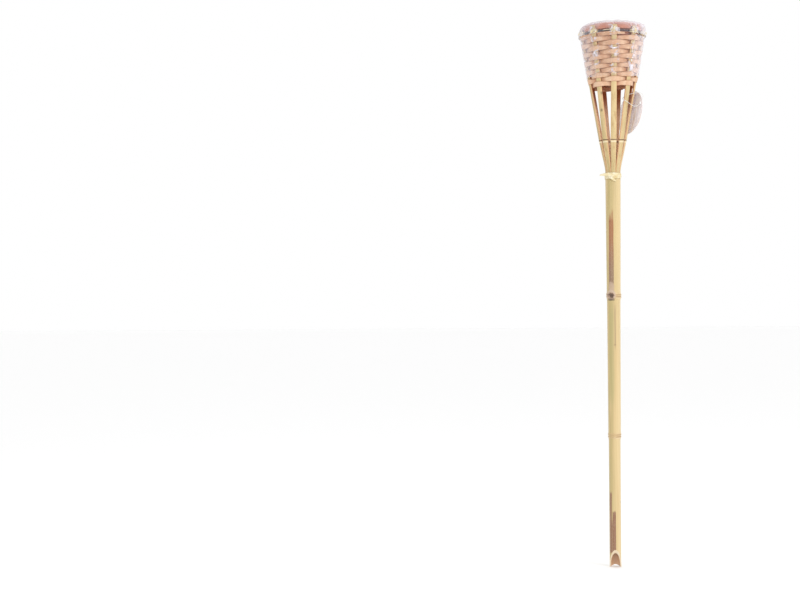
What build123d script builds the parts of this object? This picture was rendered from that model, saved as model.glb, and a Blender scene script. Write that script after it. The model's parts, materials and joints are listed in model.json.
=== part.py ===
"""Bamboo garden torch: a split culm woven into a basket that holds a terracotta candle pot.

Millimetres, +Z up. The origin is the centre of the culm's foot, the front faces -Y, and azimuths
are measured from the front towards +X.
"""

import math
import os

from build123d import *

# The culm: three internodes between a slanted foot and the split neck.
FOOT_R = 9.3
LOW_NODE_Z = 210.0
LOW_RING_R = 10.7
MID_BOTTOM_R = 9.9
MID_TOP_R = 10.6
HIGH_NODE_Z = 436.0
HIGH_RING_R = 12.4
UPPER_R = 11.2
NECK_Z = 620.0
NECK_R = 12.0
RING_HALF_HEIGHT = 4.0
WALL = 3.0
DIAPHRAGM = 3.0
CUT_TOP_Z = 28.0
CUT_REACH = 1.0

# The staves: tongues of the culm spread into an open cone.
STAVE_COUNT = 9
STAVE_TURN = -4.0
STAVE_BASE_W = 7.7
STAVE_MID_W = 10.0
STAVE_TIP_W = 9.0
STAVE_T = WALL
STAVE_SIDE_SAG = 1.0  # how far a stave's side edges lie behind the middle of its face
HUG_Z = NECK_Z + 14.0
BEND_Z = NECK_Z + 28.0
BEND_R = 14.7
SPREAD_Z = NECK_Z + 42.0
SPREAD_R = 18.0
JOINT_Z = NECK_Z + 66.0
JOINT_R = 22.9
BASKET_BOTTOM_Z = NECK_Z + 145.0
BASKET_BOTTOM_R = 36.8
TIP_R = 52.2

# The woven strip.
STRIP_T = 1.2
WEAVE_GAP = 0.3
BASKET_TOP_Z = BASKET_BOTTOM_Z + 81.5

# The rim: wire hoop and lashings.
WIRE_R = 1.1
WIRE_GAP = 0.15
TIE_T = 1.0
TIE_GAP = 0.2
TIE_H = 5.0
TIE_BOTTOM_Z = BASKET_TOP_Z + 1.7
TIE_TOP_Z = TIE_BOTTOM_Z + TIE_H
HOOP_Z = TIE_BOTTOM_Z + TIE_H / 2
TIP_Z = TIE_TOP_Z + 5.8
KNOT_R = 2.1
KNOT_T = 2.4

# The tie round the neck.
NECK_TIE_Z = NECK_Z + 3.0
NECK_BAND_H = 4.6
NECK_BAND_PITCH = 5.0
NECK_BANDS = 2
NECK_TIE_T = 1.1
NECK_KNOT_AZIMUTH = -30.0
NECK_KNOT_R = 2.8
NECK_KNOT_T = 2.6
TAIL_W = 2.6
TAIL_T = 0.9
LEFT_TAIL_REACH = 22.0
LEFT_TAIL_FRONT = 0.72  # as a share of the tie's outer radius
LEFT_TAIL_RISE = 1.0
DOWN_TAIL_L = 9.5
DOWN_TAIL_TILT = 35.0
DOWN_TAIL_X = -1.5
DOWN_TAIL_DROP = 6.5
DOWN_TAIL_SINK = 0.35

# The candle pot and what is in it.
COLLAR_GAP = 0.315  # from the collar to the staves round it
COLLAR_H = 9.9
COLLAR_EDGE_R = 1.2
COLLAR_BOTTOM_Z = TIE_TOP_Z + 0.4
COLLAR_TOP_Z = COLLAR_BOTTOM_Z + COLLAR_H
POT_BOTTOM_Z = COLLAR_BOTTOM_Z - 70.6
POT_BOTTOM_R = 31.0
POT_GAP = 0.89  # from the pot's body to the lashings round it
POT_WALL = 4.0
POT_FLOOR = 5.0
MOUTH_FLARE = 1.0
WAX_TOP_Z = COLLAR_BOTTOM_Z - 4.6
WAX_GAP = 0.1
WICK_R = 1.3
WICK_TOP_Z = WAX_TOP_Z + 9.0
SUSTAINER_R = 11.0
SUSTAINER_T = 0.5
SUSTAINER_NECK_R = 2.4
SUSTAINER_NECK_H = 4.0

# The clear film, opened round the rim into a cap and a sleeve.
FILM_T = 0.4
FILM_GAP = 0.3
CAP_KNOT_GAP = 0.15  # from the cap's skirt to the knots inside it
CAP_SKIRT_BOTTOM_Z = TIE_BOTTOM_Z - 2.4
CAP_SHOULDER_Z = COLLAR_TOP_Z - 2.5
CAP_TOP_GAP = 0.4
CAP_LEDGE = 1.0  # how far the cap's flat ring passes the collar
CAP_CROWN = 5.0
SLEEVE_BOTTOM_Z = BASKET_BOTTOM_Z + 16.0
SLEEVE_TOP_Z = CAP_SKIRT_BOTTOM_Z - 0.8

# The paper tag and its thread.
TAG_R = 35.0
TAG_T = 0.6
TAG_Z = BASKET_BOTTOM_Z - 38.0
TAG_AZIMUTH = 114.0
TAG_CLEARANCE = 1.2
TAG_SLIDE = 4.0
TAG_HOLE_R = 2.2
TAG_HOLE_OUT = 26.0
TAG_HOLE_UP = 13.3
THREAD_R = 0.4

STAVE_AZIMUTHS = [STAVE_TURN + k * 360 / STAVE_COUNT for k in range(STAVE_COUNT)]
STAVE_LINE = [
    (NECK_Z, NECK_R),
    (HUG_Z, NECK_R),
    (BEND_Z, BEND_R),
    (SPREAD_Z, SPREAD_R),
    (JOINT_Z, JOINT_R),
    (BASKET_BOTTOM_Z, BASKET_BOTTOM_R),
    (TIP_Z, TIP_R),
]
STAVE_WIDTHS = [(NECK_Z, STAVE_BASE_W), (HUG_Z, STAVE_BASE_W), (JOINT_Z, STAVE_MID_W), (TIP_Z, STAVE_TIP_W)]

os.makedirs("parts", exist_ok=True)


def save(name, label):
    """Labels a finished piece and writes it to its own STEP file."""
    name.part.label = label
    export_step(name.part, f"parts/{label}.step")


def along(z, stations):
    """The value at height z on a list of (height, value) stations, straight from each to the next."""
    for (z0, v0), (z1, v1) in zip(stations, stations[1:]):
        if z <= z1:
            break
    return v0 + (v1 - v0) * (z - z0) / (z1 - z0)


def outward(azimuth):
    """The level unit vector that leaves the axis at this azimuth."""
    turn = math.radians(azimuth)
    return Vector(math.sin(turn), -math.cos(turn), 0)


def sideways(azimuth):
    """The level unit vector along the cage's skin, towards larger azimuths."""
    return outward(azimuth + 90)


def stave_point(azimuth, z):
    """The middle of a stave's outer face at height z."""
    return outward(azimuth) * along(z, STAVE_LINE) + Vector(0, 0, z)


def stave_direction(azimuth, z):
    """The way a stave runs at height z, averaged over the stretches that meet there."""
    step = 0.5
    low = max(z - step, STAVE_LINE[0][0])
    return (stave_point(azimuth, z + step) - stave_point(azimuth, low)).normalized()


def stave_section(azimuth, z, pad=0.0):
    """A stave's cross-section at height z: a slice of the culm's wall, grown by pad all round."""
    plane = Plane(stave_point(azimuth, z), x_dir=sideways(azimuth) * -1, z_dir=stave_direction(azimuth, z))
    width = along(z, STAVE_WIDTHS)
    outer_curve = NECK_R * width / STAVE_BASE_W
    inner_curve = outer_curve - STAVE_T
    outer_half = width / 2 + pad
    inner_half = width / 2 * inner_curve / outer_curve + pad
    outer_sag = outer_curve - math.sqrt(outer_curve**2 - (width / 2) ** 2)
    inner_sag = outer_sag * inner_curve / outer_curve
    depth = -STAVE_T - pad
    with BuildSketch(plane) as section:
        with BuildLine():
            outer = ThreePointArc((-outer_half, pad - outer_sag), (0, pad), (outer_half, pad - outer_sag))
            inner_edge = depth - inner_sag
            inner = ThreePointArc((inner_half, inner_edge), (0, depth), (-inner_half, inner_edge))
            Line(outer @ 1, inner @ 0)
            Line(inner @ 1, outer @ 0)
        make_face()
    return section.sketch.face()


def ring(points):
    """A closed outline in the half plane of radius and height, for revolving about the axis."""
    with BuildSketch(Plane.XZ) as outline:
        with BuildLine():
            Polyline(points, close=True)
        make_face()
    return outline.sketch.face()


# Pole: the whole culm below the splits, hollow between its diaphragms.
with BuildPart() as pole:
    culm = ring(
        [
            (0, 0),
            (FOOT_R, 0),
            (FOOT_R, LOW_NODE_Z - RING_HALF_HEIGHT),
            (LOW_RING_R, LOW_NODE_Z),
            (MID_BOTTOM_R, LOW_NODE_Z + RING_HALF_HEIGHT),
            (MID_TOP_R, HIGH_NODE_Z - RING_HALF_HEIGHT),
            (HIGH_RING_R, HIGH_NODE_Z),
            (UPPER_R, HIGH_NODE_Z + RING_HALF_HEIGHT),
            (NECK_R, NECK_Z),
            (0, NECK_Z),
        ]
    )
    revolve(culm, axis=Axis.Z)
    low_roof = LOW_NODE_Z - DIAPHRAGM / 2
    low_chamber = ring([(0, 0), (FOOT_R - WALL, 0), (FOOT_R - WALL, low_roof), (0, low_roof)])
    mid_floor = LOW_NODE_Z + DIAPHRAGM / 2
    mid_roof = HIGH_NODE_Z - DIAPHRAGM / 2
    mid_chamber = ring(
        [(0, mid_floor), (MID_BOTTOM_R - WALL, mid_floor), (MID_TOP_R - WALL, mid_roof), (0, mid_roof)]
    )
    top_floor = HIGH_NODE_Z + DIAPHRAGM / 2
    top_chamber = ring([(0, top_floor), (UPPER_R - WALL, top_floor), (NECK_R - WALL, NECK_Z), (0, NECK_Z)])
    for chamber in (low_chamber, mid_chamber, top_chamber):
        revolve(chamber, axis=Axis.Z, mode=Mode.SUBTRACT)
    # The foot is pared away from the front, down to its middle.
    rise = CUT_TOP_Z / (FOOT_R + CUT_REACH)
    beyond = 2.0
    with BuildSketch(Plane.YZ):
        with BuildLine():
            Polyline(
                [
                    (-FOOT_R - beyond, CUT_TOP_Z + beyond * rise),
                    (CUT_REACH + beyond, -beyond * rise),
                    (-FOOT_R - beyond, -beyond * rise),
                ],
                close=True,
            )
        make_face()
    extrude(amount=FOOT_R + beyond, both=True, mode=Mode.SUBTRACT)
save(pole, "pole")

# Staves: each runs from the neck, where it grows out of the culm, to its own tip.
for number, azimuth in enumerate(STAVE_AZIMUTHS, start=1):
    with BuildPart() as stave:
        loft([stave_section(azimuth, station[0]) for station in STAVE_LINE], ruled=True)
    save(stave, f"stave_{number}")

# Woven basket: the strip's skin, swelling outside and inside each stave that it passes.
with BuildPart() as woven_basket:
    low_mid_r = BASKET_BOTTOM_R - STAVE_T / 2
    top_mid_r = along(BASKET_TOP_Z, STAVE_LINE) - STAVE_T / 2
    skin = ring(
        [
            (low_mid_r - STRIP_T, BASKET_BOTTOM_Z),
            (low_mid_r + STRIP_T, BASKET_BOTTOM_Z),
            (top_mid_r + STRIP_T, BASKET_TOP_Z),
            (top_mid_r - STRIP_T, BASKET_TOP_Z),
        ]
    )
    revolve(skin, axis=Axis.Z)
    for azimuth in STAVE_AZIMUTHS:
        ends = (BASKET_BOTTOM_Z, BASKET_TOP_Z)
        loft([stave_section(azimuth, end_z, pad=WEAVE_GAP + STRIP_T) for end_z in ends], ruled=True)
    for azimuth in STAVE_AZIMUTHS:
        stations = (BASKET_BOTTOM_Z - STAVE_T, BASKET_BOTTOM_Z, BASKET_TOP_Z + STAVE_T)
        tunnel = [stave_section(azimuth, station_z, pad=WEAVE_GAP) for station_z in stations]
        loft(tunnel, ruled=True, mode=Mode.SUBTRACT)
save(woven_basket, "woven_basket")

# Rim hoop: a ring of wire just inside the stave heads.
hoop_r = along(HOOP_Z, STAVE_LINE) - STAVE_T - STAVE_SIDE_SAG - WIRE_GAP - WIRE_R
with BuildPart() as rim_hoop:
    with Locations((0, 0, HOOP_Z)):
        Torus(hoop_r, WIRE_R)
save(rim_hoop, "rim_hoop")

# Rim ties: a lashing round each stave head and the hoop behind it, knotted outside.
tie_inner_r = hoop_r - WIRE_R - TIE_GAP
tie_outer_r = along(TIE_TOP_Z, STAVE_LINE) + TIE_GAP
tie_hole_w = along(TIE_TOP_Z, STAVE_WIDTHS) + 2 * TIE_GAP
wire_bow = hoop_r - math.sqrt(hoop_r**2 - (tie_hole_w / 2 + TIE_T) ** 2)
wire_slot_w = 2 * (WIRE_R + WIRE_GAP) + wire_bow
tie_middle_r = (tie_inner_r + tie_outer_r) / 2
tie_hole_depth = tie_outer_r - tie_inner_r
for number, azimuth in enumerate(STAVE_AZIMUTHS, start=1):
    level = Plane((0, 0, HOOP_Z), x_dir=outward(azimuth), z_dir=(0, 0, 1)).location
    with BuildPart() as rim_tie:
        with Locations(level * Location((tie_middle_r, 0, 0))):
            Box(tie_hole_depth + 2 * TIE_T, tie_hole_w + 2 * TIE_T, TIE_H)
        with Locations(level * Location((tie_outer_r + KNOT_T / 2, 0, 0), (0, 90, 0))):
            Cylinder(KNOT_R, KNOT_T)
        with Locations(level * Location((tie_middle_r, 0, 0))):
            Box(tie_hole_depth, tie_hole_w, 2 * TIE_H, mode=Mode.SUBTRACT)
        # The wire leaves through a slot in each side.
        with Locations(level * Location((hoop_r - wire_bow / 2, 0, 0))):
            Box(wire_slot_w, tie_hole_w + 4 * TIE_T, 2 * (WIRE_R + WIRE_GAP), mode=Mode.SUBTRACT)
    save(rim_tie, f"rim_tie_{number}")

# Neck tie: bands of raffia where the splits end, a knot at the front left and two tails.
neck_inner_r = NECK_R + WIRE_GAP
neck_outer_r = neck_inner_r + NECK_TIE_T
with BuildPart() as neck_tie:
    for band in range(NECK_BANDS):
        low = NECK_TIE_Z + band * NECK_BAND_PITCH
        high = low + NECK_BAND_H
        wrap = ring([(neck_inner_r, low), (neck_outer_r, low), (neck_outer_r, high), (neck_inner_r, high)])
        revolve(wrap, axis=Axis.Z)
    knot_z = NECK_TIE_Z + NECK_BAND_PITCH - (NECK_BAND_PITCH - NECK_BAND_H) / 2
    knot_out = outward(NECK_KNOT_AZIMUTH)
    knot_face = Plane(knot_out * neck_inner_r + Vector(0, 0, knot_z), z_dir=knot_out)
    with Locations(knot_face.location):
        Cylinder(NECK_KNOT_R, NECK_KNOT_T, align=(Align.CENTER, Align.CENTER, Align.MIN))
    left_tail_start = neck_outer_r / 2
    left_tail_x = -(LEFT_TAIL_REACH + left_tail_start) / 2
    with Locations((left_tail_x, -neck_outer_r * LEFT_TAIL_FRONT, knot_z + LEFT_TAIL_RISE)):
        Box(LEFT_TAIL_REACH - left_tail_start, TAIL_T, TAIL_W)
    with Locations((DOWN_TAIL_X, -neck_outer_r + DOWN_TAIL_SINK, knot_z - DOWN_TAIL_DROP)):
        Box(DOWN_TAIL_L, TAIL_T, TAIL_W, rotation=(0, DOWN_TAIL_TILT, 0))
    with Locations((0, 0, knot_z)):
        Cylinder(neck_inner_r, 4 * NECK_BAND_PITCH, mode=Mode.SUBTRACT)
save(neck_tie, "neck_tie")

# Candle pot: a terracotta flowerpot whose collar rests on the tied hoop.
collar_r = along(COLLAR_BOTTOM_Z, STAVE_LINE) - STAVE_T - STAVE_SIDE_SAG - COLLAR_GAP
pot_top_r = tie_inner_r - TIE_T - POT_GAP
with BuildPart() as pot:
    outline = ring(
        [
            (0, POT_BOTTOM_Z),
            (POT_BOTTOM_R, POT_BOTTOM_Z),
            (pot_top_r, COLLAR_BOTTOM_Z),
            (collar_r, COLLAR_BOTTOM_Z),
            (collar_r, COLLAR_TOP_Z),
            (pot_top_r - POT_WALL + MOUTH_FLARE, COLLAR_TOP_Z),
            (pot_top_r - POT_WALL, COLLAR_BOTTOM_Z),
            (POT_BOTTOM_R - POT_WALL, POT_BOTTOM_Z + POT_FLOOR),
            (0, POT_BOTTOM_Z + POT_FLOOR),
        ]
    )
    revolve(outline, axis=Axis.Z)
    fillet(pot.edges().filter_by(GeomType.CIRCLE).group_by(Axis.Z)[-1], COLLAR_EDGE_R)
save(pot, "pot")

# Wick sustainer: the tin foot that stands the wick on the pot's floor.
pot_floor_z = POT_BOTTOM_Z + POT_FLOOR
with BuildPart() as wick_sustainer:
    outline = ring(
        [
            (WICK_R + WAX_GAP, pot_floor_z),
            (SUSTAINER_R, pot_floor_z),
            (SUSTAINER_R, pot_floor_z + SUSTAINER_T),
            (SUSTAINER_NECK_R, pot_floor_z + SUSTAINER_T),
            (SUSTAINER_NECK_R, pot_floor_z + SUSTAINER_NECK_H),
            (WICK_R + WAX_GAP, pot_floor_z + SUSTAINER_NECK_H),
        ]
    )
    revolve(outline, axis=Axis.Z)
save(wick_sustainer, "wick_sustainer")

with BuildPart() as wick:
    with BuildSketch(Plane.XY.offset(pot_floor_z)):
        Circle(WICK_R)
    extrude(amount=WICK_TOP_Z - pot_floor_z)
save(wick, "wick")

# Wax: fills the pot round the wick and its sustainer.
with BuildPart() as wax:
    inner_line = [(pot_floor_z, POT_BOTTOM_R - POT_WALL), (COLLAR_BOTTOM_Z, pot_top_r - POT_WALL)]
    outline = ring(
        [
            (SUSTAINER_R + WAX_GAP, pot_floor_z),
            (along(pot_floor_z, inner_line) - WAX_GAP, pot_floor_z),
            (along(WAX_TOP_Z, inner_line) - WAX_GAP, WAX_TOP_Z),
            (WICK_R + WAX_GAP, WAX_TOP_Z),
            (WICK_R + WAX_GAP, pot_floor_z + SUSTAINER_NECK_H + WAX_GAP),
            (SUSTAINER_NECK_R + WAX_GAP, pot_floor_z + SUSTAINER_NECK_H + WAX_GAP),
            (SUSTAINER_NECK_R + WAX_GAP, pot_floor_z + SUSTAINER_T + WAX_GAP),
            (SUSTAINER_R + WAX_GAP, pot_floor_z + SUSTAINER_T + WAX_GAP),
        ]
    )
    revolve(outline, axis=Axis.Z)
save(wax, "wax")

# Film cap: the film over the pot's mouth and down past the lashings.
cap_under_z = COLLAR_TOP_Z + CAP_TOP_GAP
cap_skirt_r = tie_outer_r + KNOT_T + CAP_KNOT_GAP + FILM_T
with BuildPart() as film_cap:
    outline = ring(
        [
            (0, cap_under_z + CAP_CROWN),
            (collar_r - POT_WALL, cap_under_z),
            (collar_r + CAP_LEDGE, cap_under_z),
            (cap_skirt_r - FILM_T, CAP_SHOULDER_Z),
            (cap_skirt_r - FILM_T, CAP_SKIRT_BOTTOM_Z),
            (cap_skirt_r, CAP_SKIRT_BOTTOM_Z),
            (cap_skirt_r, CAP_SHOULDER_Z),
            (collar_r + CAP_LEDGE, cap_under_z + FILM_T),
            (collar_r - POT_WALL, cap_under_z + FILM_T),
            (0, cap_under_z + CAP_CROWN + FILM_T),
        ]
    )
    revolve(outline, axis=Axis.Z)
save(film_cap, "film_cap")

# Film sleeve: the film's lower part, shrunk on to the weave.
sleeve_pad = WEAVE_GAP + STRIP_T + FILM_GAP
with BuildPart() as film_sleeve:
    low_r = along(SLEEVE_BOTTOM_Z, STAVE_LINE) + sleeve_pad
    high_r = along(SLEEVE_TOP_Z, STAVE_LINE) + sleeve_pad
    outline = ring(
        [
            (low_r, SLEEVE_BOTTOM_Z),
            (low_r + FILM_T, SLEEVE_BOTTOM_Z),
            (high_r + FILM_T, SLEEVE_TOP_Z),
            (high_r, SLEEVE_TOP_Z),
        ]
    )
    revolve(outline, axis=Axis.Z)
save(film_sleeve, "film_sleeve")

# Hang tag: a round card that leans on the outside of the cage, parallel to its slope.
slope = math.atan2(BASKET_BOTTOM_R - JOINT_R, BASKET_BOTTOM_Z - JOINT_Z)
tag_out = outward(TAG_AZIMUTH)
tag_up = tag_out * math.sin(slope) + Vector(0, 0, math.cos(slope))
tag_front = sideways(TAG_AZIMUTH) * -1
tag_centre = (
    tag_out * (along(TAG_Z, STAVE_LINE) + TAG_CLEARANCE) + tag_front * TAG_SLIDE + Vector(0, 0, TAG_Z)
)
tag_plane = Plane(tag_centre, x_dir=tag_front, z_dir=tag_front.cross(tag_up))
with BuildPart() as hang_tag:
    with BuildSketch(tag_plane):
        Circle(TAG_R)
        with Locations((TAG_HOLE_OUT, TAG_HOLE_UP)):
            Circle(TAG_HOLE_R, mode=Mode.SUBTRACT)
    extrude(amount=TAG_T)
save(hang_tag, "hang_tag")
tag_hole = tag_centre + tag_front * TAG_HOLE_OUT + tag_up * TAG_HOLE_UP
print("tag hole", tag_hole, "tag normal", tag_plane.z_dir)

# Tag thread: from the hole round one stave, back above it, over the card's edge and in at the hole.
# Heights are above the neck.
THREAD_ROUTE = [
    (41.6, -14.2, 119.4),
    (38.6, -16.6, 116.2),
    (34.2, -18.8, 113.9),
    (29.2, -22.2, 114.4),
    (24.2, -26.4, 116.9),
    (18.8, -29.8, 120.2),
    (13.4, -30.6, 123.0),
    (11.4, -26.8, 125.2),
    (15.6, -22.2, 128.4),
    (21.4, -18.8, 132.0),
    (28.4, -16.8, 134.8),
    (35.6, -15.6, 136.2),
    (41.6, -15.0, 136.0),
    (46.2, -14.4, 134.6),
    (47.0, -12.8, 130.4),
    (45.8, -12.4, 124.6),
    (43.4, -13.2, 120.6),
]
thread_line = [(x, y, NECK_Z + height) for x, y, height in THREAD_ROUTE]


def bend_radii(route):
    """The radius of each corner of a route: as large as the shorter of its two runs allows."""
    radii = []
    for before, corner, after in zip(route, route[1:], route[2:]):
        run_in = Vector(*corner) - Vector(*before)
        run_out = Vector(*after) - Vector(*corner)
        half_turn = math.radians(run_in.get_angle(run_out)) / 2
        radii.append(0.45 * min(run_in.length, run_out.length) / math.tan(half_turn))
    return radii


with BuildPart() as tag_thread:
    with BuildLine() as route:
        FilletPolyline(*thread_line, radius=bend_radii(thread_line))
    with BuildSketch(Plane(route.line @ 0, z_dir=route.line % 0)):
        Circle(THREAD_R)
    sweep()
save(tag_thread, "tag_thread")
print("thread bends", [round(radius, 1) for radius in bend_radii(thread_line)])
thread_length = route.wires()[0].length
print("thread length", thread_length, "volume per section", tag_thread.part.volume / (math.pi * THREAD_R**2))
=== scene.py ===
"""Looks of the bamboo garden torch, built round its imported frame.

Metres, +Z up, front towards -Y. Azimuths are in degrees from the front, growing towards +X.
"""

import json
import math
import random

import bpy
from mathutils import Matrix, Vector, noise


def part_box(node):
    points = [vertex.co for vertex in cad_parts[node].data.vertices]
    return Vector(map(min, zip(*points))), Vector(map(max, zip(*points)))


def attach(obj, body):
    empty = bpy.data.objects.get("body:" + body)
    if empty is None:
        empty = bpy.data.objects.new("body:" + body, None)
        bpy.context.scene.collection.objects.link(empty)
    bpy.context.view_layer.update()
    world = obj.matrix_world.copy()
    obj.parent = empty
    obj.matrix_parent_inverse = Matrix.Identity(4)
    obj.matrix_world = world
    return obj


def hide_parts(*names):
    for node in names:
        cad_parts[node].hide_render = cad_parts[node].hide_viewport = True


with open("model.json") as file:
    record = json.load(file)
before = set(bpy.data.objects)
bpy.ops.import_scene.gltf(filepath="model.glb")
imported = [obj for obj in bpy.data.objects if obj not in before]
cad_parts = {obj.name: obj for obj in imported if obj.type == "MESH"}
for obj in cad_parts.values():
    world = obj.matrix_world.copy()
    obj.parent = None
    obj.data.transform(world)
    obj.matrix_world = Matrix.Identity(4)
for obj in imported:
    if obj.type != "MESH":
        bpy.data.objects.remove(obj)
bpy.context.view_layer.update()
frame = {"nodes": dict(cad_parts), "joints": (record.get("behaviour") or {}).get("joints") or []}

MM = 0.001

# ------------------------------------------------------------------ places, from the frame

culm_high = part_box("pole")[1]
hoop_low, hoop_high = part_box("rim_hoop")
pot_low, pot_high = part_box("pot")
wax_low, wax_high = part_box("wax")
wick_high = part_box("wick")[1]
cap_low, cap_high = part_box("film_cap")
sleeve_low, sleeve_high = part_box("film_sleeve")

NECK_Z = culm_high.z
TIP_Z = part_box("stave_1")[1].z
NECK_R = 12.0 * MM
LOW_NODE_Z = 210 * MM
HIGH_NODE_Z = 433.4 * MM
STAVE_COUNT = 9
STAVE_TURN = -4.0
STAVE_STEP = 360 / STAVE_COUNT
STAVE_T = 3.0 * MM
STAVE_NODE_Z = 681.4 * MM
STAVE_NECK_W = 7.7 * MM
TIE_Z = 850.6 * MM
STAVE_SLOPE = 0.164  # how fast the cage widens at the basket, radius for height
CULM_WALL = 1.9 * MM
HOOP_Z = (hoop_low.z + hoop_high.z) / 2
WIRE_R = (hoop_high.z - hoop_low.z) / 2
HOOP_R = hoop_high.x - WIRE_R

# Outer radius of the culm below the neck, and of the cage of staves above it, by height.
CULM_LINE = [(0.0, 9.3), (206, 9.3), (214, 9.9), (429, 10.6), (437, 10.9), (620, 12.0)]
STAVE_LINE = [(620, 12.0), (634, 12.0), (648, 14.7), (662, 18.0), (686, 22.9), (765, 36.8), (859, 52.2)]
STAVE_WIDTHS = [(620, 7.7), (634, 7.7), (686, 10.0), (859, 9.0)]


def along(z, stations):
    """The value in metres at height z on a list of (height, value) stations in millimetres."""
    height = z / MM
    for (z0, v0), (z1, v1) in zip(stations, stations[1:]):
        if height <= z1:
            break
    return (v0 + (v1 - v0) * (height - z0) / (z1 - z0)) * MM


def eased(z, stations, reach=6 * MM):
    """The same value with its corners rounded over reach."""
    return sum(along(z + reach * k / 2, stations) for k in (-2, -1, 0, 1, 2)) / 5


def outward(azimuth):
    turn = math.radians(azimuth)
    return Vector((math.sin(turn), -math.cos(turn), 0))


def on_axis(azimuth, radius, z):
    """The point at this azimuth, radius and height."""
    return outward(azimuth) * radius + Vector((0, 0, z))


def bump(x, centre, spread):
    """A smooth hill of height 1 at the centre."""
    return math.exp(-(((x - centre) / spread) ** 2))


def smooth(x, low, high):
    t = min(1.0, max(0.0, (x - low) / (high - low)))
    return t * t * (3 - 2 * t)


def waver(x, y, seed, size=1.0):
    """Smooth noise from -1 to 1."""
    return noise.noise(Vector((x * size, y * size, seed * 7.31)))


def mm(*sizes):
    return [size * MM for size in sizes]


def points_mm(*places):
    return [Vector(place) * MM for place in places]


def past_stave(azimuth):
    """How far an azimuth is past the nearest stave, from -0.5 to 0.5 of the step between staves."""
    return ((azimuth - STAVE_TURN) / STAVE_STEP + 0.5) % 1 - 0.5


def chord_at(past):
    """Radius of a straight line from stave to stave, as a share of the staves' own radius."""
    half = math.radians(STAVE_STEP / 2)
    return math.cos(half) / math.cos(half - abs(math.radians(STAVE_STEP) * past))


# ------------------------------------------------------------------ modelling helpers


def deselect():
    bpy.ops.object.select_all(action="DESELECT")


def pick(piece):
    """Makes one piece the only selected and active one."""
    deselect()
    piece.select_set(True)
    bpy.context.view_layer.objects.active = piece


def apply_modifiers(piece):
    pick(piece)
    for modifier in list(piece.modifiers):
        bpy.ops.object.modifier_apply(modifier=modifier.name)


def skin(name, across, along_count, place, closed=True, capped=True):
    """A grid drawn over a shape: place(u, v) gives the point for u and v from 0 to 1.

    closed joins the two long edges, and capped fills the two ends.
    """
    deselect()
    bpy.ops.mesh.primitive_grid_add(x_subdivisions=across, y_subdivisions=along_count, size=1)
    piece = bpy.context.object
    piece.name = name
    for vertex in piece.data.vertices:
        vertex.co = place(vertex.co.x + 0.5, vertex.co.y + 0.5)
    bpy.ops.object.mode_set(mode="EDIT")
    bpy.ops.mesh.select_all(action="SELECT")
    if closed:
        bpy.ops.mesh.remove_doubles(threshold=1e-6)
    if capped:
        bpy.ops.mesh.fill_holes(sides=0)
    bpy.ops.mesh.select_all(action="SELECT")
    bpy.ops.mesh.normals_make_consistent(inside=False)
    bpy.ops.object.mode_set(mode="OBJECT")
    bpy.ops.object.shade_smooth()
    return piece


def thicken(piece, thickness, offset=0.0, rounding=0):
    """Gives a sheet its thickness, and rounds its edges with subdivision."""
    solid = piece.modifiers.new("thickness", "SOLIDIFY")
    solid.thickness = thickness
    solid.offset = offset
    solid.use_even_offset = True
    if rounding:
        soft = piece.modifiers.new("rounding", "SUBSURF")
        soft.levels = rounding
        soft.render_levels = rounding
    apply_modifiers(piece)
    return piece


def ribbon(name, steps, route, width, thickness, across=2):
    """A flat strand. route(t) gives its middle and the unit vector across it; width(t) its width."""

    def place(u, v):
        middle, side = route(v)
        return middle + side * (u - 0.5) * width(v)

    piece = skin(name, across, steps, place, closed=False, capped=False)
    return thicken(piece, thickness, rounding=1)


def join(name, parts):
    deselect()
    for part in parts:
        part.select_set(True)
    bpy.context.view_layer.objects.active = parts[0]
    bpy.ops.object.join()
    parts[0].name = name
    return parts[0]


def turned(name, outline, around=96):
    """A shape turned about the axis: outline is a list of (radius, height)."""
    last = len(outline) - 1

    def place(u, v):
        radius, height = outline[round(v * last)]
        return on_axis(u * 360, radius, height)

    return skin(name, around, last, place, capped=False)


def smooth_by_angle(piece, degrees=35):
    pick(piece)
    bpy.ops.object.shade_smooth_by_angle(angle=math.radians(degrees))


def dress(piece, material, body, slot, *replaced):
    """Gives a finished piece its material, its body and the CAD nodes that it stands for. slot is not used.
    """
    piece.data.materials.clear()
    piece.data.materials.append(material)
    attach(piece, body)
    if replaced:
        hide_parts(*replaced)


# ------------------------------------------------------------------ shader helpers


STUDIO_GAIN = 0.84  # the light is bright, so colours are laid on a little darker than they should look


def tone(code):
    """A web colour code as linear light."""
    values = [int(code[k : k + 2], 16) / 255 for k in (1, 3, 5)]
    linear = [v / 12.92 if v <= 0.04045 else ((v + 0.055) / 1.055) ** 2.4 for v in values]
    return tuple(STUDIO_GAIN * v for v in linear) + (1.0,)


def add(tree, kind, inputs=None, **settings):
    """Adds a node. Each input is linked if it is given a socket, and set if it is given a value."""
    made = tree.nodes.new(kind)
    for key, value in settings.items():
        setattr(made, key, value)
    for key, value in (inputs or {}).items():
        if isinstance(value, bpy.types.NodeSocket):
            tree.links.new(value, made.inputs[key])
        else:
            made.inputs[key].default_value = value
    return made


def math_of(tree, operation, first, second=0.0, clamp=False):
    made = add(tree, "ShaderNodeMath", {0: first, 1: second}, operation=operation, use_clamp=clamp)
    return made.outputs[0]


def times(tree, first, second):
    return math_of(tree, "MULTIPLY", first, second)


def blend(tree, factor, first, second):
    inputs = {0: factor, 6: first, 7: second}
    return add(tree, "ShaderNodeMix", inputs, data_type="RGBA", clamp_factor=True).outputs[2]


def wash(tree, colour, code, mask, strength):
    """Another colour laid over this one where the mask is."""
    return blend(tree, times(tree, mask, strength), colour, tone(code))


def vector_of(tree, *values):
    return add(tree, "ShaderNodeCombineXYZ", dict(enumerate(values))).outputs[0]


def scaled(tree, vector, factors):
    return add(tree, "ShaderNodeVectorMath", {0: vector, 1: factors}, operation="MULTIPLY").outputs[0]


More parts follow.
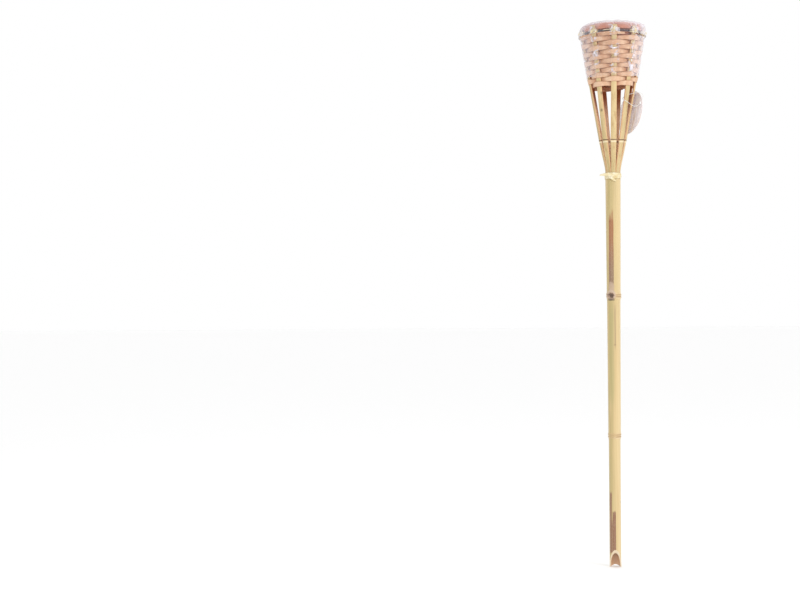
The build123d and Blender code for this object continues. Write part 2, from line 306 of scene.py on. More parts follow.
def marked(tree, name):
    """What was written on the piece's own points or faces under this name."""
    return add(tree, "ShaderNodeAttribute", attribute_name=name).outputs["Fac"]


def twisted(tree, vector, scale, distortion):
    """Slanting bands, as of twisted yarn."""
    fed = {"Vector": vector, "Scale": scale, "Distortion": distortion}
    return add(tree, "ShaderNodeTexWave", fed, bands_direction="DIAGONAL").outputs["Fac"]


def parts_of(tree, vector):
    """The X, Y and Z sockets of a vector."""
    return add(tree, "ShaderNodeSeparateXYZ", {0: vector}).outputs


def noise_of(tree, vector, scale, detail, **others):
    """Soft noise from 0 to 1. Other inputs are named with underscores for spaces."""
    fed = {"Vector": vector, "Scale": scale, "Detail": detail, **others}
    return add(tree, "ShaderNodeTexNoise", fed).outputs["Fac"]


def ramp(tree, factor, *stops):
    """Colours or greys along a factor: each stop is (place, colour)."""
    made = add(tree, "ShaderNodeValToRGB", {"Fac": factor})
    elements = made.color_ramp.elements
    while len(elements) < len(stops):
        elements.new(0.5)
    for element, (place, colour) in zip(elements, stops):
        element.position = place
        element.color = colour if isinstance(colour, tuple) else (colour, colour, colour, 1)
    return made.outputs["Color"]


def span(tree, value, low, high, bottom=0.0, top=1.0):
    """A soft step: bottom below low, top above high."""
    made = add(
        tree,
        "ShaderNodeMapRange",
        {"Value": value, "From Min": low, "From Max": high, "To Min": bottom, "To Max": top},
        interpolation_type="SMOOTHSTEP",
    )
    return made.outputs["Result"]


def material_of(name, roughness=0.5, **values):
    """A new material and its parts: (material, tree, shader, object coordinates)."""
    material = bpy.data.materials.new(name)
    material.use_nodes = True
    tree = material.node_tree
    shader = tree.nodes["Principled BSDF"]
    shader.inputs["Roughness"].default_value = roughness
    for key, value in values.items():
        shader.inputs[key.replace("_", " ")].default_value = value
    place = tree.nodes.new("ShaderNodeTexCoord")
    return material, tree, shader, place.outputs["Object"]


def own_uv(tree):
    return tree.nodes.new("ShaderNodeTexCoord").outputs["UV"]


def paint(tree, shader, colour):
    tree.links.new(colour, shader.inputs["Base Color"])


def group_of(name, inputs, outputs):
    """An empty node group with these sockets, each (name, kind, default): its tree, start and end."""
    tree = bpy.data.node_groups.new(name, "ShaderNodeTree")
    for title, kind, default in inputs:
        socket = tree.interface.new_socket(title, in_out="INPUT", socket_type="NodeSocket" + kind)
        if default is not None:
            socket.default_value = default
    for title, kind in outputs:
        tree.interface.new_socket(title, in_out="OUTPUT", socket_type="NodeSocket" + kind)
    return tree, tree.nodes.new("NodeGroupInput").outputs, tree.nodes.new("NodeGroupOutput").inputs


def mask_group(name, *titles):
    """An empty group that makes a mask from a vector and these numbers."""
    inputs = [("Vector", "Vector", None)] + [(title, "Float", 0.0) for title in titles]
    return group_of(name, inputs, [("Mask", "Float")])


def use(tree, group, **inputs):
    """Places a group; its inputs are named with underscores for spaces."""
    fed = {key.replace("_", " "): value for key, value in inputs.items()}
    return add(tree, "ShaderNodeGroup", fed, node_tree=group).outputs


def mask_of(tree, group, vector, *values):
    """The mask of a group, its inputs after the vector given in their own order."""
    fed = dict(enumerate((vector, *values)))
    return add(tree, "ShaderNodeGroup", fed, node_tree=group).outputs["Mask"]


def make_fibre_group():
    """Long thin fibres: noise that is much finer across a piece than along it."""
    tree, given, put = group_of(
        "fibres",
        [
            ("Vector", "Vector", None),
            ("Across", "Float", 900.0),
            ("Along", "Float", 12.0),
            ("Swirl", "Float", 0.0),
        ],
        [("Fine", "Float"), ("Coarse", "Float")],
    )
    parts = parts_of(tree, given["Vector"])
    for title, share, detail in (("Fine", 1.0, 3.0), ("Coarse", 0.22, 2.0)):
        across = times(tree, given["Across"], share)
        drawn = times(tree, given["Along"], share)
        sizes = zip(parts, (across, across, drawn))
        stretched = vector_of(tree, *(times(tree, part, size) for part, size in sizes))
        grain = noise_of(tree, stretched, 1.0, detail, Distortion=given["Swirl"])
        tree.links.new(grain, put[title])
    return tree


def make_patch_group():
    """A ragged patch on the front of the culm, between two values of X and two heights."""
    titles = ("X Low", "X High", "Z Low", "Z High", "X Edge", "Z Edge", "Ragged")
    tree, given, put = mask_group("front_patch", *titles)
    parts = parts_of(tree, given["Vector"])
    squeezed = scaled(tree, given["Vector"], (420, 420, 34))
    torn = noise_of(tree, squeezed, 1.0, 3.0)
    shift = times(tree, math_of(tree, "SUBTRACT", torn, 0.5), given["Ragged"])
    x = math_of(tree, "ADD", parts[0], shift)
    z = math_of(tree, "ADD", parts[2], times(tree, shift, 5.0))
    masks = []
    for value, low, high, edge in (
        (x, "X Low", "X High", "X Edge"),
        (z, "Z Low", "Z High", "Z Edge"),
    ):
        top = math_of(tree, "ADD", given[low], given[edge])
        masks.append(span(tree, value, given[low], top))
        bottom = math_of(tree, "SUBTRACT", given[high], given[edge])
        masks.append(span(tree, value, bottom, given[high], 1.0, 0.0))
    masks.append(span(tree, parts[1], -0.004, 0.0, 1.0, 0.0))
    mask = masks[0]
    for other in masks[1:]:
        mask = times(tree, mask, other)
    tree.links.new(mask, put["Mask"])
    return tree


def make_oval_group():
    """A ragged oval on the front of the culm, about a point given by its X and height."""
    tree, given, put = mask_group("front_oval", "X", "Z", "Half Width", "Half Height", "Ragged")
    parts = parts_of(tree, given["Vector"])
    torn = noise_of(tree, given["Vector"], 420.0, 3.0)
    squares = []
    for value, centre, half in ((parts[0], "X", "Half Width"), (parts[2], "Z", "Half Height")):
        share = math_of(tree, "DIVIDE", math_of(tree, "SUBTRACT", value, given[centre]), given[half])
        squares.append(times(tree, share, share))
    far = math_of(tree, "SQRT", math_of(tree, "ADD", *squares))
    shift = times(tree, math_of(tree, "SUBTRACT", torn, 0.5), given["Ragged"])
    inside = span(tree, math_of(tree, "ADD", far, shift), 0.75, 1.1, 1.0, 0.0)
    front = span(tree, parts[1], -0.003, 0.001, 1.0, 0.0)
    tree.links.new(times(tree, inside, front), put["Mask"])
    return tree


def make_ring_group():
    """A thin band round the axis at one height, with a slightly wavy edge."""
    tree, given, put = mask_group("ring_line", "Height", "Half", "Wave")
    parts = parts_of(tree, given["Vector"])
    wobble = noise_of(tree, given["Vector"], 130.0, 1.0)
    shift = times(tree, math_of(tree, "SUBTRACT", wobble, 0.5), given["Wave"])
    z = math_of(tree, "ADD", parts[2], shift)
    apart = math_of(tree, "ABSOLUTE", math_of(tree, "SUBTRACT", z, given["Height"]))
    inner = times(tree, given["Half"], 0.4)
    tree.links.new(span(tree, apart, inner, given["Half"], 1.0, 0.0), put["Mask"])
    return tree


def make_speck_group():
    """Small scattered marks: specks, pores or chips."""
    tree, given, put = mask_group("specks", "Scale", "Amount")
    cells = add(tree, "ShaderNodeTexVoronoi", {"Vector": given["Vector"], "Scale": given["Scale"]})
    chance = add(tree, "ShaderNodeSeparateColor", {0: cells.outputs["Color"]}).outputs[0]
    chosen = math_of(tree, "LESS_THAN", chance, given["Amount"])
    dot = span(tree, cells.outputs["Distance"], 0.05, 0.35, 1.0, 0.0)
    tree.links.new(times(tree, chosen, dot), put["Mask"])
    return tree


FIBRES = make_fibre_group()
PATCH = make_patch_group()
OVAL = make_oval_group()
RING = make_ring_group()
SPECKS = make_speck_group()


def give_bump(tree, shader, height, strength, distance):
    made = add(tree, "ShaderNodeBump", {"Height": height, "Strength": strength, "Distance": distance})
    tree.links.new(made.outputs["Normal"], shader.inputs["Normal"])


# ------------------------------------------------------------------ camera, light and floor

EYE = (-0.342, -2.4, 0.429)
LEAN = 0.38  # degrees that the view leans
LENS = 67.5
SKY = 1.0
FLOOR_WHITE = 0.98
MIDDLE = (0, 0, 0.5)
HEAD = (0, 0, 0.82)
# Each lamp: its name, where it is, what it faces, its size and its power.
LAMPS = [
    ("key", (1.5, -1.7, 1.5), MIDDLE, 0.9, 17),
    ("fill", (-1.6, -1.6, 0.7), MIDDLE, 1.4, 4),
    ("strip", (0.25, -1.6, 0.85), HEAD, 0.10, 1.6),
]


def place_camera():
    bpy.ops.object.camera_add(location=EYE, rotation=(math.pi / 2, math.radians(LEAN), 0))
    camera = bpy.context.object
    camera.name = "viewer"
    camera.data.lens = LENS
    camera.data.sensor_width = 36
    camera.data.clip_end = 50
    bpy.context.scene.camera = camera


def area_light(name, place, target, size, power):
    bpy.ops.object.light_add(type="AREA", location=place)
    lamp = bpy.context.object
    lamp.name = name
    lamp.data.size = size
    lamp.data.energy = power
    lamp.rotation_euler = (Vector(target) - Vector(place)).to_track_quat("-Z", "Y").to_euler()


def light_scene():
    world = bpy.data.worlds.new("studio")
    bpy.context.scene.world = world
    world.use_nodes = True
    tree = world.node_tree
    tree.nodes.clear()
    sky = add(tree, "ShaderNodeBackground", {"Color": (1, 1, 1, 1), "Strength": SKY})
    add(tree, "ShaderNodeOutputWorld", {"Surface": sky.outputs[0]})
    for lamp in LAMPS:
        area_light(*lamp)
    bpy.context.scene.view_settings.view_transform = "Standard"


def lay_floor():
    deselect()
    bpy.ops.mesh.primitive_plane_add(size=40, location=(0, 0, 0))
    floor = bpy.context.object
    floor.name = "floor"
    material, _, shader, _ = material_of("pale_floor", roughness=0.7)
    shader.inputs["Base Color"].default_value = (FLOOR_WHITE, FLOOR_WHITE, FLOOR_WHITE, 1)
    floor.data.materials.append(material)


# ------------------------------------------------------------------ tag thread: the one cord

THREAD_ROUTE = [
    (0.0416, -0.0142, 0.7394),
    (0.0386, -0.0166, 0.7362),
    (0.0342, -0.0188, 0.7339),
    (0.0292, -0.0222, 0.7344),
    (0.0242, -0.0264, 0.7369),
    (0.0188, -0.0298, 0.7402),
    (0.0134, -0.0306, 0.7430),
    (0.0114, -0.0268, 0.7452),
    (0.0156, -0.0222, 0.7484),
    (0.0214, -0.0188, 0.7520),
    (0.0284, -0.0168, 0.7548),
    (0.0356, -0.0156, 0.7562),
    (0.0416, -0.0150, 0.7560),
    (0.0462, -0.0144, 0.7546),
    (0.0470, -0.0128, 0.7504),
    (0.0458, -0.0124, 0.7446),
    (0.0434, -0.0132, 0.7406),
]
THREAD_R = 0.4 * MM


def make_thread():
    data = bpy.data.curves.new("tag_thread_line", "CURVE")
    data.dimensions = "3D"
    spline = data.splines.new("NURBS")
    spline.points.add(len(THREAD_ROUTE) - 1)
    for point, place in zip(spline.points, THREAD_ROUTE):
        point.co = (*place, 1)
    spline.order_u = 3
    spline.use_endpoint_u = True
    spline.resolution_u = 12
    data.bevel_depth = THREAD_R
    data.bevel_resolution = 3
    data.use_fill_caps = True
    thread = bpy.data.objects.new("thread", data)
    bpy.context.collection.objects.link(thread)
    material, tree, shader, spot = material_of("white_cotton_thread", roughness=0.8)
    twist = twisted(tree, spot, 900.0, 1.5)
    colour = blend(tree, twist, tone("#e9e4dc"), tone("#fbf9f5"))
    paint(tree, shader, colour)
    give_bump(tree, shader, twist, 0.5, 0.0001)
    dress(thread, material, "torch", "thread", "tag_thread")


# ------------------------------------------------------------------ bamboo

# Heat stains on the front of the culm: X from and to, height from and to, softness of the edges in X
# and in height, all in millimetres, and strength.
SCORCHES = [
    (-8.6, -1.1, 446, 562, 0.5, 10, 0.96),
    (-8.0, -4.6, 550, 569, 1.1, 13, 0.95),
    (-5.2, -1.2, 550, 575, 1.4, 16, 0.96),
    (-9.3, -5.9, 20, 121, 0.4, 5, 0.92),
    (-5.5, 0.1, 14, 92, 0.5, 5, 0.96),
    (-7.2, -4.6, 14, 80, 0.9, 12, 0.75),
]
SCORCH_RAGGED = 1.5
# The line along the groove below the upper node, and the olive groove: as above, with a colour.
GROOVE_MARKS = [
    (-0.6, 1.4, 340, 428, 0.6, 22, "#9b7e62", 0.75),
    (-10.2, -0.6, 250, 428, 3.0, 30, "#b3aa70", 0.5),
]
GROOVE_RAGGED = 0.8
# The bud scar on the upper node, a pale collar, a brown rim, a dark eye and the lip under it: X, height,
# half width and half height in millimetres, raggedness, colour and strength.
BUD_SCAR = [
    (-5.0, 446, 4.6, 11, 0.9, "#c3a891", 0.8),
    (-5.6, 435, 7.6, 8.4, 0.6, "#cdb59e", 0.9),
    (-5.7, 434.4, 5.6, 5.2, 1.0, "#a5846c", 0.85),
    (-5.9, 435.4, 4.4, 2.6, 1.2, "#644b39", 0.9),
    (-4.6, 433.2, 3.2, 3.2, 1.0, "#5a4332", 0.92),
    (-4.9, 428.8, 6.6, 1.6, 1.4, "#8b7260", 0.75),
    (-5.4, 426.8, 5.0, 1.1, 1.4, "#4a3729", 0.85),
]
# The lines round each node: height from its middle in millimetres, colour and strength.
NODE_SEAMS = [(-1.4, "#946a45", 0.7), (1.6, "#a27a50", 0.65), (-3.8, "#f0dcb4", 0.5)]
NODE_SWELLINGS = [(LOW_NODE_Z, 0.75 * MM), (HIGH_NODE_Z, 1.15 * MM)]
BUD_TURN = -35  # azimuth of the branch bud and of the groove under it
CULM_STEP = 10 * MM
NODE_REACH = 9 * MM
NODE_STEP = 0.6 * MM
FOOT_STEP = 2 * MM
FOOT_HOLLOW = 3.0 * MM
CUT_RISE = 28 / 10.3  # how far the cut at the foot climbs for each unit that it goes in
CUT_TURN = -7
CUT_BACK_Y = 1 * MM


def bamboo_colour(tree, spot, shade_and_greenness):
    """The waxy skin: pale yellow, olive in long streaks, and fine fibre lines, with painted light on the
    right side and painted shade on the left. Gives colour and grain.
    """
    fibres = use(tree, FIBRES, Vector=spot, Across=1500.0, Along=14.0)
    wide = use(tree, FIBRES, Vector=spot, Across=260.0, Along=9.0)
    parts = parts_of(tree, spot)
    warm = ramp(
        tree,
        wide["Coarse"],
        (0.30, tone("#cdb883")),
        (0.48, tone("#dfc48f")),
        (0.62, tone("#e6cc98")),
        (0.78, tone("#d9ba82")),
    )
    # The left side is painted darker and greener in long streaks: painted shade away from the key light,
    # with some olive in it.
    left = span(tree, parts[0], -0.009, 0.004, shade_and_greenness, 0.0)
    olive_and_painted_shade = times(tree, left, span(tree, wide["Fine"], 0.3, 0.6))
    skin_colour = blend(tree, olive_and_painted_shade, warm, tone("#b9a86c"))
    # The right side is painted lighter: painted light from the key lamp on that side.
    painted_light_right = span(tree, parts[0], 0.0, 0.011, 0.0, 0.35)
    skin_colour = blend(tree, painted_light_right, skin_colour, tone("#f1dbab"))
    lines = span(tree, fibres["Fine"], 0.30, 0.52, 0.22, 0.0)
    skin_colour = blend(tree, lines, skin_colour, tone("#a98450"))
    return skin_colour, fibres


def culm_material():
    waxy = {"Coat_Weight": 0.15, "Coat_Roughness": 0.35}
    material, tree, shader, spot = material_of("culm_skin", roughness=0.42, **waxy)
    colour, fibres = bamboo_colour(tree, spot, 0.70)
    # Heat stains, pointed at the top, redder above and greyer below.
    height = parts_of(tree, spot)[2]
    mould = noise_of(tree, spot, 900.0, 2.0)
    scorched = blend(tree, span(tree, height, 0.455, 0.540), tone("#8f6f5a"), tone("#a86d45"))
    scorched = blend(tree, span(tree, height, 0.15, 0.16, 1.0, 0.0), scorched, tone("#8f6048"))
    speckled = times(tree, span(tree, mould, 0.56, 0.68), span(tree, height, 0.50, 0.53, 0.55, 0.1))
    scorched = blend(tree, speckled, scorched, tone("#c9b29c"))
    for *patch, strength in SCORCHES:
        mask = mask_of(tree, PATCH, spot, *mm(*patch, SCORCH_RAGGED))
        streaked = times(tree, mask, span(tree, fibres["Coarse"], 0.25, 0.6, 0.85, 1.0))
        colour = blend(tree, times(tree, streaked, strength), colour, scorched)
    for *patch, code, strength in GROOVE_MARKS:
        mask = mask_of(tree, PATCH, spot, *mm(*patch, GROOVE_RAGGED))
        colour = wash(tree, colour, code, mask, strength)
    # Each node: a dark seam between two pale ridges.
    for node_z in (LOW_NODE_Z, HIGH_NODE_Z):
        halo = mask_of(tree, RING, spot, node_z, 6.5 * MM, 3 * MM)
        colour = wash(tree, colour, "#d0a87e", halo, 0.30)
        for shift, code, share in NODE_SEAMS:
            seam = mask_of(tree, RING, spot, node_z + shift * MM, *mm(0.9, 0.8))
            # The seams die away where the bud scar is.
            clear = span(tree, parts_of(tree, spot)[0], -0.001, 0.003, 0.25, 1.0)
            colour = blend(tree, times(tree, times(tree, seam, share), clear), colour, tone(code))
    for *oval, ragged, code, strength in BUD_SCAR:
        mask = mask_of(tree, OVAL, spot, *mm(*oval), ragged)
        colour = wash(tree, colour, code, mask, strength)
    # Bare wood where the foot is pared, inside the bore and on the cut.
    bare = marked(tree, "bare")
    bore = blend(tree, fibres["Coarse"], tone("#d3a27c"), tone("#ecc5a0"))
    pulp = blend(tree, fibres["Coarse"], tone("#e0c39c"), tone("#f6e8cd"))
    colour = blend(tree, span(tree, bare, 0.2, 0.4), colour, bore)
    colour = blend(tree, span(tree, bare, 0.6, 0.9), colour, pulp)
    marks = mask_of(tree, SPECKS, spot, 140.0, 0.05)
    colour = wash(tree, colour, "#7d5a3a", marks, 0.5)
    paint(tree, shader, colour)
    tree.links.new(span(tree, fibres["Coarse"], 0.3, 0.7, 0.36, 0.55), shader.inputs["Roughness"])
    give_bump(tree, shader, fibres["Fine"], 0.25, 0.0002)
    return material


def culm_heights():
    """Heights of the culm's rings of points: close at the nodes, wide apart between them."""
    heights = {k * CULM_STEP for k in range(int(NECK_Z / CULM_STEP) + 1)}
    for node_z in (LOW_NODE_Z, HIGH_NODE_Z):
        heights = {z for z in heights if abs(z - node_z) > NODE_REACH}
        heights |= {node_z + k * NODE_STEP for k in range(-15, 16)}
    heights |= {k * FOOT_STEP for k in range(20)}
    return sorted(heights)


def culm_radius(azimuth, z):
    """The culm's outer radius: slightly oval, ridged at its nodes, with a shallow groove and a bud."""
    radius = eased(z, CULM_LINE)
    turn = math.radians(azimuth)
    oval = 0.010 * math.cos(2 * turn + 6 * z)
    uneven = 0.004 * waver(math.cos(turn), math.sin(turn) + 4 * z, 1, 1.5)
    radius *= 1 + oval + uneven
    for node_z, lift in NODE_SWELLINGS:
        tilt = 0.6 * MM * math.sin(turn + node_z * 9)
        apart = z - node_z - tilt
        radius += lift * bump(apart, 0, 4.6 * MM)
        radius += 0.45 * MM * (bump(apart, 2.2 * MM, 0.9 * MM) + bump(apart, -2.0 * MM, 0.9 * MM))
        radius -= 0.40 * MM * bump(apart, 0.1 * MM, 0.7 * MM)
    across = (azimuth - BUD_TURN + 180) % 360 - 180
    groove = smooth(z, 230 * MM, 400 * MM) * (1 - smooth(z, 425 * MM, 433 * MM))
    radius -= 0.75 * MM * groove * bump(across, 0, 26)
    bud = bump(across, 10, 20) * bump(z, HIGH_NODE_Z + 1 * MM, 6 * MM)
    eye = bump(across, 12, 9) * bump(z, HIGH_NODE_Z, 3 * MM)
    radius += (0.9 * bud - 1.1 * eye) * MM
    radius += 0.45 * MM * (1 - smooth(z, 0.0, 9 * MM)) * smooth(math.sin(turn), 0.2, 1.0)
    return radius


def make_culm():
    heights = culm_heights()
    last = len(heights) - 1

    def place(u, v):
        z = heights[round(v * last)]
        azimuth = u * 360
        # The saw left the back of the foot a little hollow, so it stands on two points.
        hollow = FOOT_HOLLOW * bump(azimuth, 172, 48)
        level = z + hollow * (1 - smooth(z, 0.0, 16 * MM))
        return on_axis(azimuth, culm_radius(azimuth, z), level)

    culm = skin("culm", 72, last, place, capped=False)
    thicken(culm, CULM_WALL, offset=-1)
    # The foot is pared with one slanting cut from the front.
    pick(culm)
    bpy.ops.object.mode_set(mode="EDIT")
    bpy.ops.mesh.select_all(action="SELECT")
    cut_normal = (outward(CUT_TURN) + Vector((0, 0, -1 / CUT_RISE))).normalized()
    bpy.ops.mesh.bisect(plane_co=(0, CUT_BACK_Y, 0), plane_no=cut_normal, use_fill=True, clear_outer=True)
    bpy.ops.object.mode_set(mode="OBJECT")
    mesh = culm.data
    bare = mesh.attributes.new("bare", "FLOAT", "FACE")
    for face in mesh.polygons:
        middle = face.center
        reach = math.hypot(middle.x, middle.y)
        away = face.normal.dot(Vector((middle.x, middle.y, 0)).normalized()) if reach else 0
        pared = middle.z < LOW_NODE_Z and (face.normal.dot(cut_normal) > 0.995 or face.normal.z < -0.9)
        in_bore = away < 0.35
        bare.data[face.index].value = 1.0 if pared else 0.5 if in_bore else 0.0
    smooth_by_angle(culm)
    dress(culm, culm_material(), "torch", "bamboo", "pole")


def stave_material():
    waxy = {"Coat_Weight": 0.1, "Coat_Roughness": 0.4}
    material, tree, shader, spot = material_of("split_bamboo", roughness=0.46, **waxy)
    colour, fibres = bamboo_colour(tree, spot, 0.35)
    parts = parts_of(tree, spot)
    inside = marked(tree, "inside")
    shade = marked(tree, "shade")
    # Some staves are greener or browner than their neighbours, and fibres show where wax has rubbed off.
    colour = blend(tree, times(tree, span(tree, shade, 0.45, 1.0), 0.40), colour, tone("#a98f55"))
    colour = blend(tree, times(tree, span(tree, shade, 0.0, 0.35, 1.0, 0.0), 0.35), colour, tone("#f0d49c"))
    worn = times(tree, span(tree, fibres["Coarse"], 0.52, 0.68), 0.45)
    colour = blend(tree, worn, colour, tone("#b3884f"))
    edge_colour = blend(tree, fibres["Fine"], tone("#d8a06a"), tone("#f0cfa0"))
    low_colour = blend(tree, fibres["Fine"], tone("#e0ab80"), tone("#fbd8b4"))
    # Higher up, the inner faces are painted brown-red: painted shade inside the basket and a painted
    # reflection of the terracotta, partly the inner wall's own darker colour.
    inner_shade_colour = blend(tree, fibres["Coarse"], tone("#96481f"), tone("#b4693a"))
    inner_colour_with_shade = blend(tree, span(tree, parts[2], 0.712, 0.756), low_colour, inner_shade_colour)
    colour = blend(tree, span(tree, inside, 0.15, 0.42), colour, edge_colour)
    colour = blend(tree, span(tree, inside, 0.58, 0.85), colour, inner_colour_with_shade)
    seam = mask_of(tree, RING, spot, STAVE_NODE_Z, 1.1 * MM, 2.2 * MM)
    colour = wash(tree, colour, "#63402b", seam, 0.92)
    pale = mask_of(tree, RING, spot, STAVE_NODE_Z - 3.0 * MM, 1.6 * MM, 1.0 * MM)
    colour = wash(tree, colour, "#f6e6c2", pale, 0.75)
    marks = mask_of(tree, SPECKS, spot, 95.0, 0.07)
    colour = wash(tree, colour, "#5f4630", marks, 0.65)
    paint(tree, shader, colour)
    give_bump(tree, shader, fibres["Fine"], 0.4, 0.0003)
    return material


def make_stave(number, material):
    """One tongue of the culm, from the neck to its tip, with its own small irregularities."""
    chance = random.Random(40 + number)
    azimuth = STAVE_TURN + (number - 1) * STAVE_STEP
    bottom = NECK_Z
    top = TIP_Z - chance.uniform(0.0, 2.2) * MM
    node_z = STAVE_NODE_Z + chance.uniform(-1.0, 1.0) * MM
    slimmer = chance.uniform(0.93, 1.0)
    seed = chance.uniform(0, 50)
    shade = chance.random()
    steps = 96

    def place(u, v):
        z = bottom + (top - bottom) * v
        turn = 2 * math.pi * u
        width = along(z, STAVE_WIDTHS) * slimmer
        if z > node_z + 4 * MM:
            width += 0.25 * MM * waver(z / MM * 0.05, 0, seed)
        curve = NECK_R * width / STAVE_NECK_W
        c, s = math.cos(turn), math.sin(turn)
        side = width / 2 * math.copysign(abs(c) ** 0.42, c)
        depth = STAVE_T / 2 * (math.copysign(abs(s) ** 0.5, s) - 1) - side * side / (2 * curve)
        ridge = 0.45 * MM * bump(z, node_z - 2.6 * MM, 1.3 * MM)
        ridge += 0.30 * MM * bump(z, node_z + 2.4 * MM, 1.2 * MM)
        if s > 0:
            depth += ridge * s
        else:
            diaphragm = 1.9 * MM * bump(z, node_z, 1.6 * MM) * s
            depth += diaphragm * (0.6 + 0.4 * waver(side / MM * 0.4, 1, seed))
        side += 0.3 * MM * bump(z, node_z, 3 * MM) * c
        drift = 0.35 * MM * waver(z / MM * 0.02, 3, seed) * smooth(z, 640 * MM, 700 * MM)
        radius = eased(z, STAVE_LINE, 5 * MM)
        rise = eased(z + MM, STAVE_LINE) - eased(z - MM, STAVE_LINE)
        slope = rise / (2 * MM) if z < top - 2 * MM else STAVE_SLOPE
        lift = -depth * slope
        level = outward(azimuth) * (radius + depth) + outward(azimuth + 90) * (side + drift)
        return level + Vector((0, 0, z + lift))

    stave = skin(f"bamboo_stave_{number}", 24, steps, place)
    mesh = stave.data
    inside = mesh.attributes.new("inside", "FLOAT", "POINT")
    shades = mesh.attributes.new("shade", "FLOAT", "POINT")
    for vertex in mesh.vertices:
        z = vertex.co.z
        level = Vector((vertex.co.x, vertex.co.y, 0))
        depth = eased(min(z, top), STAVE_LINE, 5 * MM) - level.dot(outward(azimuth))
        inside.data[vertex.index].value = min(1.0, max(0.0, depth / STAVE_T))
        shades.data[vertex.index].value = shade
    smooth_by_angle(stave, 50)
    dress(stave, material, "torch", "bamboo", f"stave_{number}")


# ------------------------------------------------------------------ woven basket

STRIP_W = 8.7 * MM
CROSSING_W = 7.0 * MM
STRIP_T = 1.15 * MM
COURSE_PITCH = 7.0 * MM
LOWEST_COURSE_Z = 768.7 * MM
WEAVE_START = -5.3
WEAVE_END = 99.55
STRIP_FLATNESS = 0.62  # 0 is round, 1 is straight from stave to stave
STRIP_PROUD = 0.004
STEPS_PER_STAVE = 10


def rattan_material():
    material, tree, shader, _ = material_of("split_rattan", roughness=0.55, Sheen_Weight=0.1)
    run = parts_of(tree, own_uv(tree))
    course_noise = noise_of(tree, vector_of(tree, 0.0, times(tree, run[1], 160.0)), 1.0, 2.0)
    lines_at = vector_of(tree, times(tree, run[0], 14.0), times(tree, run[1], 420.0))
    lines = noise_of(tree, lines_at, 1.0, 4.0, Roughness=0.65)
    body = ramp(
        tree, course_noise,
        (0.30, tone("#dba884")), (0.45, tone("#e8bd9b")), (0.58, tone("#f2cfae")), (0.72, tone("#dfb08a")),
    )
    body = blend(tree, span(tree, lines, 0.36, 0.62, 0.38, 0.0), body, tone("#b57a4e"))
    body = blend(tree, span(tree, lines, 0.55, 0.75, 0.0, 0.45), body, tone("#f6dcbc"))
    centre = math_of(tree, "ABSOLUTE", math_of(tree, "SUBTRACT", run[0], 0.5))
    body = blend(tree, span(tree, centre, 0.36, 0.50, 0.0, 0.5), body, tone("#a8693f"))
    # The inner side of the basket, and what lies deep between the courses, get painted shade, tinted orange
    # as a painted reflection of the terracotta pot.
    reach = marked(tree, "deep")
    body = wash(tree, body, "#c26a36", reach, 0.50)
    paint(tree, shader, body)
    give_bump(tree, shader, lines, 0.45, 0.0003)
    return material


def make_weave():
    """One long strip, wound up the basket, outside one stave and inside the next."""
    total = WEAVE_END - WEAVE_START
    steps = round(total * STEPS_PER_STAVE)
    amplitude = STAVE_T / 2 + 0.35 * MM + STRIP_T / 2

    def swing(s):
        """From -1, inside a stave, to 1, outside it: held at the stave, then straight across."""
        past = abs((s + 0.5) % 1 - 0.5)
        reach = min(1.0, (0.5 - past) / 0.34)
        return reach if round(s) % 2 else -reach

    def route(t):
        s = WEAVE_START + total * t
        azimuth = STAVE_TURN + s * STAVE_STEP
        z = LOWEST_COURSE_Z + COURSE_PITCH * max(s, 0.1 * s) / STAVE_COUNT
        z += 0.5 * MM * waver(s * 0.35, 0, 5)
        middle_r = along(z, STAVE_LINE) - STAVE_T / 2
        past = (s + 0.5) % 1 - 0.5
        flat = min(1.0, 1 + STRIP_FLATNESS * (chord_at(past) - 1) + STRIP_PROUD)
        radius = middle_r * flat + amplitude * swing(s)
        lean = math.atan(STAVE_SLOPE) + 0.10 * swing(s) + 0.05 * waver(s * 0.8, 2, 9)
        side = outward(azimuth) * math.sin(lean) + Vector((0, 0, math.cos(lean)))
        return on_axis(azimuth, radius, z), side

    def width(t):
        s = WEAVE_START + total * t
        last_end = 1 - 0.5 * smooth(s, WEAVE_END - 1.2, WEAVE_END)
        ends = min(smooth(s, WEAVE_START, WEAVE_START + 1.0), last_end)
        broad = CROSSING_W + (STRIP_W - CROSSING_W) * abs(swing(s))
        return broad * (1 + 0.05 * waver(s * 0.25, 1, 3)) * max(0.35, ends)

    strip = ribbon("rattan_weave", steps, route, width, STRIP_T, across=3)
    # deep: how far each point lies inside the line of the staves, the mask for the weave's painted shade and
    # painted reflection.
    deep = strip.data.attributes.new("deep", "FLOAT", "POINT")
    for vertex in strip.data.vertices:
        reach = math.hypot(vertex.co.x, vertex.co.y)
        ideal = along(vertex.co.z, STAVE_LINE) - STAVE_T / 2
        deep.data[vertex.index].value = smooth(ideal - reach, 0.4 * MM, 3.6 * MM)
    dress(strip, rattan_material(), "torch", "rattan", "woven_basket")


# ------------------------------------------------------------------ raffia


def raffia_material():
    material, tree, shader, spot = material_of("raffia", roughness=0.7, Sheen_Weight=0.2)
    run = parts_of(tree, own_uv(tree))
    lines_at = vector_of(tree, times(tree, run[0], 10.0), times(tree, run[1], 5.0))
    lines = noise_of(tree, lines_at, 1.0, 4.0)
    tint = noise_of(tree, spot, 180.0, 1.0)
    body = ramp(tree, tint, (0.3, tone("#e6d09a")), (0.5, tone("#f2e4bb")), (0.7, tone("#f8efd2")))
    body = blend(tree, span(tree, lines, 0.30, 0.52, 0.45, 0.0), body, tone("#c2a164"))
    paint(tree, shader, body)
    give_bump(tree, shader, lines, 0.6, 0.0003)
    return material


